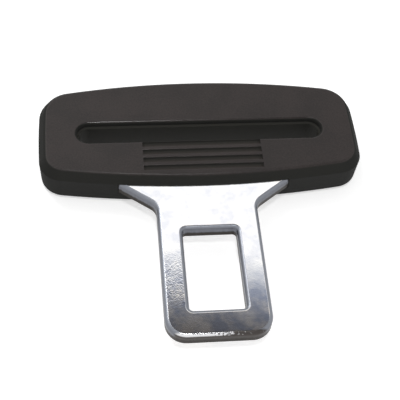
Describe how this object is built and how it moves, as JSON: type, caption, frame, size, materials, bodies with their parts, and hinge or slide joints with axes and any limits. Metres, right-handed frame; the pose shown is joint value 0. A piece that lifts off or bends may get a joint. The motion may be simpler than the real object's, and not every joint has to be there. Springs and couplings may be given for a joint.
{
  "type": "seat belt tongue",
  "caption": "Seat belt tongue: plated steel latch blade with a window, held in a two-part moulded head with a webbing slot and grip grooves.",
  "frame": {"origin": "centre of the bounding box on the rear face of the head, which is z = 0", "axes": "+X along the webbing slot, -Y from the head towards the blade's tip, +Z out of the grooved front face"},
  "size_m": [0.0694, 0.0632, 0.0084],
  "materials": {
    "plated_steel": "bright plated stamping with a soft mirror and rolled edges",
    "black_moulding": "fine grained matte moulding",
    "guide_moulding": "smooth low friction moulding"
  },
  "bodies": {
    "root": {"tongue_plate": "plated_steel", "front_cover": "black_moulding", "rear_cover": "black_moulding", "webbing_guide": "guide_moulding"}
  },
  "joints": []
}
